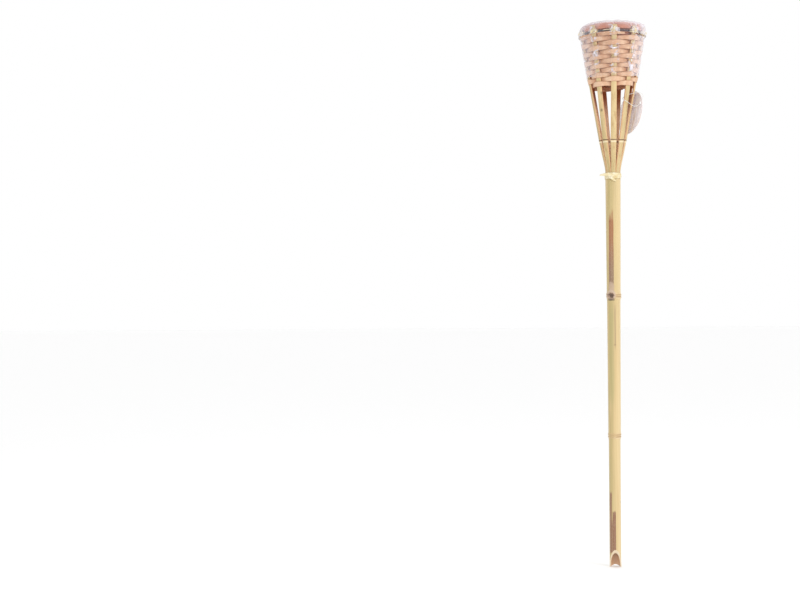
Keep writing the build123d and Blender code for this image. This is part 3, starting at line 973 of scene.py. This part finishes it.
def loop_strand(name, centre, level_axis, side_axis, half_deep, half_wide, tilt, width, thickness, drift):
    """A flat strand once round a bundle: half_deep along level_axis and half_wide along side_axis."""

    def route(t):
        turn = 2 * math.pi * t * 1.04
        c, s = math.cos(turn), math.sin(turn)
        deep = half_deep * math.copysign(abs(c) ** 0.6, c)
        wide = half_wide * math.copysign(abs(s) ** 0.6, s)
        rise = tilt * wide + drift * (t - 0.5)
        return centre + level_axis * deep + side_axis * wide + Vector((0, 0, rise)), Vector((0, 0, 1))

    return ribbon(name, 36, route, lambda t: width, thickness)


def strand(name, points, width, thickness, seed, tapered=False):
    """A short strand through these points, twisting a little, for knots and tails."""
    last = len(points) - 1

    def route(t):
        place = min(t * last, last - 1e-6)
        k = int(place)
        part = place - k
        before, start = points[max(k - 1, 0)], points[k]
        end, after = points[k + 1], points[min(k + 2, last)]
        middle = 0.5 * (
            2 * start
            + (end - before) * part
            + (2 * before - 5 * start + 4 * end - after) * part**2
            + (3 * start - before - 3 * end + after) * part**3
        )
        run = (end - start).normalized()
        twist = 0.6 * waver(t * 2, 0, seed)
        across = run.cross(Vector((math.sin(twist), -math.cos(twist), 0.2))).normalized()
        return middle, across

    def taper(t):
        return width * (1 - 0.6 * smooth(t, 0.55, 1.0)) if tapered else width * (1 - 0.25 * abs(2 * t - 1))

    return ribbon(name, 8 * last, route, taper, thickness)


def knot_strand(name, knot, places, *sizes, **how):
    """A strand of a knot. The knot is (middle, out, side); places are (across, up, out) in millimetres."""
    middle, out, side = knot
    points = [
        middle + side * (x * MM) + Vector((0, 0, height * MM)) + out * (proud * MM)
        for x, height, proud in places
    ]
    return strand(name, points, *sizes, **how)


def make_lashing(number, material):
    """The tie that holds one stave head to the hoop: three turns, a knot outside and its ends."""
    chance = random.Random(70 + number)
    azimuth = STAVE_TURN + (number - 1) * STAVE_STEP
    out, side = outward(azimuth), outward(azimuth + 90)
    z = TIE_Z
    stave_r = along(z, STAVE_LINE)
    inner = HOOP_R - WIRE_R - 0.7 * MM
    outer = stave_r + 0.75 * MM
    centre = out * ((inner + outer) / 2)
    parts = []
    for k, (height, tilt) in enumerate(((-1.6, 0.16), (0.2, -0.12), (1.7, 0.05))):
        at = centre + Vector((0, 0, z + height * MM))
        parts.append(
            loop_strand(
                "turn", at, out, side, (outer - inner) / 2, 5.2 * MM, tilt + chance.uniform(-0.1, 0.1),
                2.3 * MM, 0.7 * MM, 0.8 * MM,
            )
        )
    middle = out * (outer + 0.7 * MM) + Vector((0, 0, z + chance.uniform(-0.6, 0.6) * MM))
    knot = (middle, out, side)
    wide = chance.uniform(4.0, 5.2)
    tall = chance.uniform(2.8, 3.8)
    crossing = (
        [(-wide, -tall, -0.7), (-1.2, -0.5, 0.9), (1.4, 0.9, 0.7), (wide, tall, -0.6)],
        [(-wide, tall, -0.6), (-1.3, 0.7, 0.6), (1.2, -0.7, 1.0), (wide, -tall * 0.8, -0.6)],
        [(-0.4, -tall - 0.4, -0.3), (-0.6, -0.6, 1.3), (0.3, 1.0, 1.3), (0.9, tall + 0.8, -0.2)],
        [(0.9, -tall, -0.1), (-0.9, -0.4, 1.2), (-1.4, 0.9, 0.9), (0.6, tall, 0.3)],
    )
    for k, places in enumerate(crossing):
        parts.append(knot_strand("knot", knot, places, 2.4 * MM, 0.75 * MM, number * 5 + k))
    turn_side = 1 if chance.random() > 0.4 else -1
    reach = chance.uniform(5, 9)
    tail = [(turn_side * 2, -1, 0.3), (turn_side * reach * 0.7, -2.0, -0.6), (turn_side * reach, -4.4, -1.0)]
    parts.append(knot_strand("tail", knot, tail, 1.8 * MM, 0.45 * MM, number, tapered=True))
    stub = [(-turn_side * 1, 1.0, 0.6), (-turn_side * 2.2, 3.6, 0.4), (-turn_side * 2.6, 5.8, -0.2)]
    parts.append(knot_strand("stub", knot, stub, 1.6 * MM, 0.5 * MM, number + 3, tapered=True))
    lashing = join(f"raffia_lashing_{number}", parts)
    dress(lashing, material, "torch", "raffia", f"rim_tie_{number}")


def make_rim_strands():
    """Loose strands that leave some of the knots and lie along the hoop for a way."""
    chance = random.Random(12)
    parts = []

    def width(t):
        return 1.9 * MM * (1 - 0.5 * smooth(t, 0.7, 1.0))

    for number, reach in ((1, -0.55), (2, 0.35), (4, -0.7), (6, 0.6), (7, -0.4), (9, -0.3)):
        start = STAVE_TURN + (number - 1) * STAVE_STEP
        lift = chance.uniform(0.6, 1.6)

        def route(t, start=start, reach=reach, lift=lift, number=number):
            azimuth = start + STAVE_STEP * reach * t
            out_by = 3.6 * (1 - smooth(t, 0.0, 0.35)) + 1.5
            z = HOOP_Z + (lift * (1 - t) + 0.3 + 0.5 * waver(t * 3, 1, number)) * MM
            lean = 0.5 + 0.6 * waver(t * 2, 2, number)
            across = Vector((0, 0, math.cos(lean))) + outward(azimuth) * math.sin(lean)
            return on_axis(azimuth, HOOP_R + out_by * MM, z), across

        parts.append(ribbon("strand", 24, route, width, 0.4 * MM))
    return join("rim_strands", parts)


def make_neck_tie(material):
    """Raffia wound round the neck over the splits, knotted at the front left, with two tails."""
    wrap_r = NECK_R + 0.75 * MM
    low = NECK_Z + 0.4 * MM
    parts = []
    for k, (height, tilt, turn) in enumerate(((2.3, 0.5, 0), (6.9, -0.4, 60), (4.5, 0.9, 200))):
        lift = 0.35 * MM if k == 2 else 0.0

        def route(t, height=height, tilt=tilt, turn=turn, lift=lift, k=k):
            azimuth = turn + 360 * t * 1.01
            sway = tilt * MM * math.sin(math.radians(azimuth))
            z = low + height * MM + sway + 0.3 * MM * waver(t * 6, k, 2)
            fold = 0.18 * waver(t * 9, k, 5)
            across = Vector((0, 0, math.cos(fold))) + outward(azimuth) * math.sin(fold)
            return on_axis(azimuth, wrap_r + lift, z), across

        parts.append(ribbon("wrap", 72, route, lambda t: 4.9 * MM, 0.6 * MM))
    out, side = outward(-32), outward(58)
    knot = (out * (wrap_r + 0.9 * MM) + Vector((0, 0, low + 4.6 * MM)), out, side)
    crossing = (
        [(-3.6, -2.0, -0.8), (-1.2, -0.6, 0.8), (1.2, 0.8, 0.8), (3.8, 1.8, -0.8)],
        [(-3.4, 2.2, -0.8), (-1.0, 0.8, 0.9), (1.4, -0.8, 0.7), (3.6, -2.0, -0.8)],
        [(-0.5, -3.0, -0.2), (-0.7, -0.6, 1.2), (0.5, 0.9, 1.2), (0.8, 3.0, -0.2)],
    )
    for k, places in enumerate(crossing):
        parts.append(knot_strand("knot", knot, places, 3.0 * MM, 0.8 * MM, 90 + k))
    left = points_mm(
        (-4.0, -14.0, 625.0), (-10.0, -12.6, 626.8), (-16.0, -10.6, 626.4), (-22.4, -9.4, 625.8)
    )
    parts.append(strand("left_tail", left, 5.2 * MM, 0.6 * MM, 95, tapered=True))
    down = points_mm(
        (-8.0, -12.4, 624.2), (-4.0, -13.7, 621.0), (-0.4, -13.6, 618.2), (3.2, -13.2, 616.0)
    )
    parts.append(strand("down_tail", down, 4.6 * MM, 0.6 * MM, 96, tapered=True))
    tie = join("raffia_neck_tie", parts)
    dress(tie, material, "torch", "raffia", "neck_tie")


# ------------------------------------------------------------------ candle pot


def arc_points(centre, radius, start, end, count=5):
    """Points on a quarter or other arc in the half plane, angles in degrees from the radius axis."""
    return [
        (
            centre[0] + radius * math.cos(math.radians(start + (end - start) * k / (count - 1))),
            centre[1] + radius * math.sin(math.radians(start + (end - start) * k / (count - 1))),
        )
        for k in range(count)
    ]


def terracotta_material():
    material, tree, shader, spot = material_of("terracotta", roughness=0.82)
    cloud = noise_of(tree, spot, 38.0, 3.0)
    grit = noise_of(tree, spot, 1400.0, 2.0)
    flattened = scaled(tree, spot, (0.02, 0.02, 60))
    rings = use(tree, FIBRES, Vector=flattened, Across=900.0, Along=14.0)
    body = ramp(tree, cloud, (0.32, tone("#bf7a60")), (0.5, tone("#cc8870")), (0.68, tone("#d79a82")))
    body = blend(tree, span(tree, grit, 0.56, 0.7, 0.0, 0.35), body, tone("#efc3ac"))
    body = blend(tree, span(tree, rings["Coarse"], 0.35, 0.5, 0.25, 0.0), body, tone("#a9634a"))
    pores = mask_of(tree, SPECKS, spot, 420.0, 0.10)
    body = wash(tree, body, "#8a4c37", pores, 0.5)
    paint(tree, shader, body)
    give_bump(tree, shader, math_of(tree, "SUBTRACT", grit, pores), 0.35, 0.0004)
    return material


COLLAR_BOTTOM = 853.6 * MM
POT_MOUTH_R = 38.4 * MM


def make_pot():
    collar_r = pot_high.x
    collar_top = pot_high.z
    collar_bottom = COLLAR_BOTTOM
    bottom_z = pot_low.z
    edge = 1.5 * MM
    wall_in = POT_MOUTH_R
    outline = [(0, bottom_z + 1.5 * MM), (22 * MM, bottom_z + 1.5 * MM), (24 * MM, bottom_z)]
    outline += arc_points((31.0 * MM - edge, bottom_z + edge), edge, -90, -8)
    outline += [(42.2 * MM, collar_bottom - 0.6 * MM), (42.6 * MM, collar_bottom)]
    outline += arc_points((collar_r - edge, collar_bottom + edge), edge, -90, 0)
    outline += arc_points((collar_r - edge, collar_top - edge), edge, 0, 90)
    outline += arc_points((wall_in + 1.0 * MM + edge, collar_top - edge), edge, 90, 180)
    outline += [(wall_in, collar_bottom), (27 * MM, bottom_z + 5 * MM), (0, bottom_z + 5 * MM)]
    pot = turned("terracotta_pot", outline, around=128)
    smooth_by_angle(pot, 40)
    dress(pot, terracotta_material(), "candle_pot", "terracotta", "pot")


def wax_material():
    material, tree, shader, spot = material_of("candle_wax", roughness=0.38, Subsurface_Weight=0.25)
    shader.inputs["Subsurface Radius"].default_value = (0.004, 0.003, 0.002)
    cloud = noise_of(tree, spot, 45.0, 2.0)
    frost = noise_of(tree, spot, 260.0, 3.0)
    body = ramp(tree, cloud, (0.3, tone("#e8dcae")), (0.7, tone("#f6eed2")))
    body = blend(tree, span(tree, frost, 0.55, 0.7, 0.0, 0.3), body, tone("#fffaf0"))
    paint(tree, shader, body)
    give_bump(tree, shader, cloud, 0.3, 0.0008)
    return material


def make_wax():
    """The poured wax: level, dished round the wick, drawn up where it meets the pot."""
    top = wax_high.z
    edge_r = wax_high.x
    bottom = wax_low.z + 1.0 * MM
    outline = [(0, bottom), (26 * MM, bottom), (26.6 * MM, bottom + 1 * MM)]
    outline += [(edge_r - 0.1 * MM, top - 0.6 * MM), (edge_r - 0.3 * MM, top)]
    for share in (0.985, 0.96, 0.92, 0.82, 0.62, 0.42, 0.25, 0.14, 0.08):
        dish = 0.9 * (1 - smooth(share, 0.0, 0.5)) + 0.25 * (1 - smooth(share, 0.9, 1.0))
        outline.append((edge_r * share, top - dish * MM))
    outline += [(1.5 * MM, top - 0.5 * MM), (0, top - 0.5 * MM)]
    wax = turned("poured_wax", outline)
    smooth_by_angle(wax, 40)
    dress(wax, wax_material(), "candle_pot", "wax", "wax")


def make_wick():
    """A braided cotton wick: three strands laid round each other, leaning slightly at the tip."""
    bottom = wax_high.z - 8 * MM
    top = wick_high.z - 0.4 * MM
    parts = []
    for k in range(3):

        def place(u, v, k=k):
            z = bottom + (top - bottom) * v
            turn = 2 * math.pi * (v * 3.2 + k / 3)
            lean = 1.2 * MM * smooth(v, 0.5, 1.0)
            centre = Vector((0.55 * MM * math.cos(turn) + lean, 0.55 * MM * math.sin(turn), z))
            around = 2 * math.pi * u
            radius = 0.7 * MM * (1 - 0.25 * smooth(v, 0.94, 1.0))
            return centre + Vector((math.cos(around), math.sin(around), 0)) * radius

        parts.append(skin("wick_strand", 10, 30, place))
    wick = join("braided_wick", parts)
    material, tree, shader, spot = material_of("waxed_cotton", roughness=0.7)
    lay = twisted(tree, spot, 700.0, 2.0)
    paint(tree, shader, blend(tree, lay, tone("#ded4bd"), tone("#f7f3ea")))
    give_bump(tree, shader, lay, 0.5, 0.0002)
    dress(wick, material, "candle_pot", "cotton", "wick")


# ------------------------------------------------------------------ clear film


def film_material(name, clear, grazing_reflection):
    """Thin clear film: nearly invisible face on, milky where it turns away as a painted reflection, white
    where it is creased, with painted highlights in small patches.
    """
    material, tree, shader, spot = material_of(
        name, roughness=0.32, IOR=1.45, Transmission_Weight=0.10, Specular_IOR_Level=0.22
    )
    shader.inputs["Base Color"].default_value = (0.84, 0.80, 0.86, 1)
    # Face on the film stays clear; at grazing angles it turns near-white: a painted reflection of the white
    # surroundings.
    facing = add(tree, "ShaderNodeLayerWeight", {"Blend": 0.5}).outputs["Facing"]
    crinkle = noise_of(tree, spot, 75.0, 2.0, Distortion=0.8)
    painted_reflection_veil = span(tree, facing, 0.10, 0.85, clear, grazing_reflection)
    creases = span(tree, crinkle, 0.50, 0.72, 0.0, 0.05)
    # Near the staves and the pot's edge the film gets small near-white patches: painted highlights.
    stretched = marked(tree, "stretched")
    patches = noise_of(tree, spot, 95.0, 4.0, Roughness=0.6, Distortion=0.8)
    glint = times(tree, span(tree, patches, 0.545, 0.60, 0.0, 0.80), stretched)
    whole = math_of(tree, "ADD", math_of(tree, "ADD", painted_reflection_veil, creases), glint, clamp=True)
    tree.links.new(whole, shader.inputs["Alpha"])
    give_bump(tree, shader, crinkle, 0.12, 0.0008)
    return material


def mark_painted_glints(film, weight):
    """Marks how strongly each point of the film gets painted highlights, near a stave or an edge, from 0 to
    1.
    """
    layer = film.data.attributes.new("stretched", "FLOAT", "POINT")
    for vertex in film.data.vertices:
        azimuth = math.degrees(math.atan2(vertex.co.x, -vertex.co.y))
        layer.data[vertex.index].value = weight(past_stave(azimuth), vertex.co)


FILM_T = 0.12 * MM
FILM_SLACK = 0.45  # how far the film sinks between staves: 0 is round, 1 is straight from stave to stave


def film_radius(azimuth, base):
    """Film stretched flat from stave to stave: base is its radius on a stave."""
    return base * (1 + FILM_SLACK * (chord_at(past_stave(azimuth)) - 1))


def make_film_sleeve(material):
    bottom, top = sleeve_low.z, sleeve_high.z

    def place(u, v):
        azimuth = 360 * u
        c, s = math.cos(math.radians(azimuth)), math.sin(math.radians(azimuth))
        hem = 2.0 * MM * waver(c * 2, s * 2, 3) * (1 - v)
        z = bottom + (top - bottom) * v + hem
        base = along(z, STAVE_LINE) + 2.1 * MM
        ripple = 0.40 * MM * waver(c * 6, s * 6 + v * 1.5, 11)
        ripple += 0.06 * MM * waver(c * 16, s * 16 + v * 5, 12)
        return on_axis(azimuth, film_radius(azimuth, base) + ripple, z)

    film = skin("film_wrap", 216, 26, place, capped=False)
    thicken(film, FILM_T, offset=1)

    # Painted highlights along each stave, fading out towards the hem.
    def glint_share(past, spot):
        return bump(past, 0, 0.17) * smooth(spot.z, bottom, bottom + 12 * MM)

    mark_painted_glints(film, glint_share)
    dress(film, material, "torch", "clear_film", "film_sleeve")


def make_film_cap(material):
    """Film over the pot's mouth: taut across the top, gathered at the shoulder, with one loose lobe."""
    skirt_r = cap_high.x - 0.5 * MM
    hem_z = cap_low.z + 0.3 * MM
    crown_z = cap_high.z - 1.2 * MM
    profile = [
        (0.0, 0.0), (0.12, 0.0), (0.30, 0.0), (0.48, 0.0), (0.62, 0.01),
        (0.72, 0.03), (0.79, 0.07), (0.85, 0.13), (0.90, 0.22), (0.94, 0.33),
        (0.97, 0.46), (0.99, 0.60), (1.0, 0.76), (0.998, 0.9), (0.995, 1.0),
    ]
    last = len(profile) - 1

    def place(u, v):
        azimuth = 360 * u
        share, drop = profile[round(v * last)]
        c, s = math.cos(math.radians(azimuth)), math.sin(math.radians(azimuth))
        lobe = bump((azimuth - 82 + 180) % 360 - 180, 0, 34)
        drop *= 1 - 0.55 * lobe * (1 - smooth(drop, 0.25, 0.9))
        gather = 0.010 * waver(c * 5, s * 5, 21) + 0.003 * waver(c * 14, s * 14, 22)
        radius = skirt_r * min(1.0, share * (1 + gather * smooth(share, 0.5, 1.0)))
        z = crown_z + (hem_z - crown_z) * drop
        fold = 0.9 * waver(c * 7 * share, s * 7 * share, 23)
        fold += 0.25 * waver(c * 11, s * 11 + share * 3, 24)
        z += fold * MM * smooth(share, 0.0, 0.3) * (1 - smooth(drop, 0.5, 1.0))
        return on_axis(azimuth, radius, min(z, cap_high.z - 0.3 * MM))

    film = skin("film_over_pot", 192, last, place, capped=False)
    thicken(film, FILM_T, offset=-1)

    # Painted highlights over each stave, on the cap's shoulder below its crown.
    def glint_share(past, spot):
        return 0.55 * bump(past, 0, 0.25) * smooth(cap_high.z - spot.z, 2 * MM, 6 * MM)

    mark_painted_glints(film, glint_share)
    dress(film, material, "film_cover", "clear_film", "film_cap")


# ------------------------------------------------------------------ tag


def card_material(centre, front, up, out):
    """Coated card: blank towards the cage, a plain printed border and leaf on the outer side."""
    material, tree, shader, spot = material_of("coated_card", roughness=0.5, Coat_Weight=0.2)
    moved = add(tree, "ShaderNodeVectorMath", {0: spot, 1: tuple(centre)}, operation="SUBTRACT")

    def reach(axis):
        inputs = {0: moved.outputs[0], 1: tuple(axis)}
        return add(tree, "ShaderNodeVectorMath", inputs, operation="DOT_PRODUCT").outputs["Value"]

    x, y, depth = reach(front), reach(up), reach(out)
    far = math_of(tree, "SQRT", math_of(tree, "ADD", times(tree, x, x), times(tree, y, y)))
    streak = noise_of(tree, vector_of(tree, times(tree, x, 110.0), times(tree, y, 18.0)), 1.0, 2.0)
    back = ramp(tree, streak, (0.35, tone("#f6ebf4")), (0.55, (0.97, 0.95, 1, 1)), (0.7, tone("#fbeae4")))
    pulp = noise_of(tree, spot, 2200.0, 2.0)
    back = blend(tree, span(tree, pulp, 0.4, 0.6, 0.0, 0.10), back, tone("#fffdfb"))
    border = times(tree, span(tree, far, 0.0290, 0.0294), span(tree, far, 0.0318, 0.0322, 1.0, 0.0))
    bulge = times(tree, times(tree, y, y), 26.0)
    half = math_of(tree, "ABSOLUTE", x)
    blade = span(tree, math_of(tree, "ADD", half, bulge), 0.0072, 0.0078, 1.0, 0.0)
    leaf = times(tree, blade, span(tree, half, 0.0003, 0.0006))
    front_colour = blend(tree, border, tone("#f3ead2"), tone("#6f8a4a"))
    front_colour = blend(tree, leaf, front_colour, tone("#7f9a55"))
    side = span(tree, depth, 0.00025, 0.00035)
    paint(tree, shader, blend(tree, side, back, front_colour))
    give_bump(tree, shader, pulp, 0.15, 0.0002)
    return material


def dress_tag():
    """The tag keeps its own shape: its plane is found from the hinge that it turns on."""
    joint = next(j for j in frame["joints"] if j["name"] == "tag_swing")
    inward = Vector(joint["axis"]).normalized()
    out = inward * -1
    front = Vector((0, 0, 1)).cross(inward).normalized()
    if front.y > 0:
        front = front * -1
    up = out.cross(front) if out.cross(front).z > 0 else front.cross(out)
    low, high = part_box("hang_tag")
    centre = (Vector(low) + Vector(high)) / 2
    tag = frame["nodes"]["hang_tag"]
    tag.data.materials.clear()
    tag.data.materials.append(card_material(centre, front, up, out))


def dress_metal():
    """The hoop and the wick's tin foot keep their shapes."""
    for node, code, dark, roughness in (
        ("rim_hoop", "#5c6066", "#3a3430", 0.42),
        ("wick_sustainer", "#c4c4c2", "#8a8a88", 0.3),
    ):
        material, tree, shader, spot = material_of(node + "_metal", roughness=roughness, Metallic=0.85)
        stain = noise_of(tree, spot, 190.0, 3.0)
        drawn = noise_of(tree, spot, 1500.0, 1.0)
        paint(tree, shader, blend(tree, span(tree, stain, 0.45, 0.65), tone(code), tone(dark)))
        give_bump(tree, shader, drawn, 0.2, 0.0001)
        piece = frame["nodes"][node]
        piece.data.materials.clear()
        piece.data.materials.append(material)


# ------------------------------------------------------------------ making

place_camera()
make_thread()
light_scene()
lay_floor()
make_culm()
split_bamboo = stave_material()
for stave_number in range(1, STAVE_COUNT + 1):
    make_stave(stave_number, split_bamboo)
make_weave()
raffia = raffia_material()
for stave_number in range(1, STAVE_COUNT + 1):
    make_lashing(stave_number, raffia)
dress(make_rim_strands(), raffia, "torch", "raffia")
make_neck_tie(raffia)
make_pot()
make_wax()
make_wick()
make_film_sleeve(film_material("shrink_film", 0.02, 0.34))
make_film_cap(film_material("crown_film", 0.03, 0.44))
dress_tag()
dress_metal()
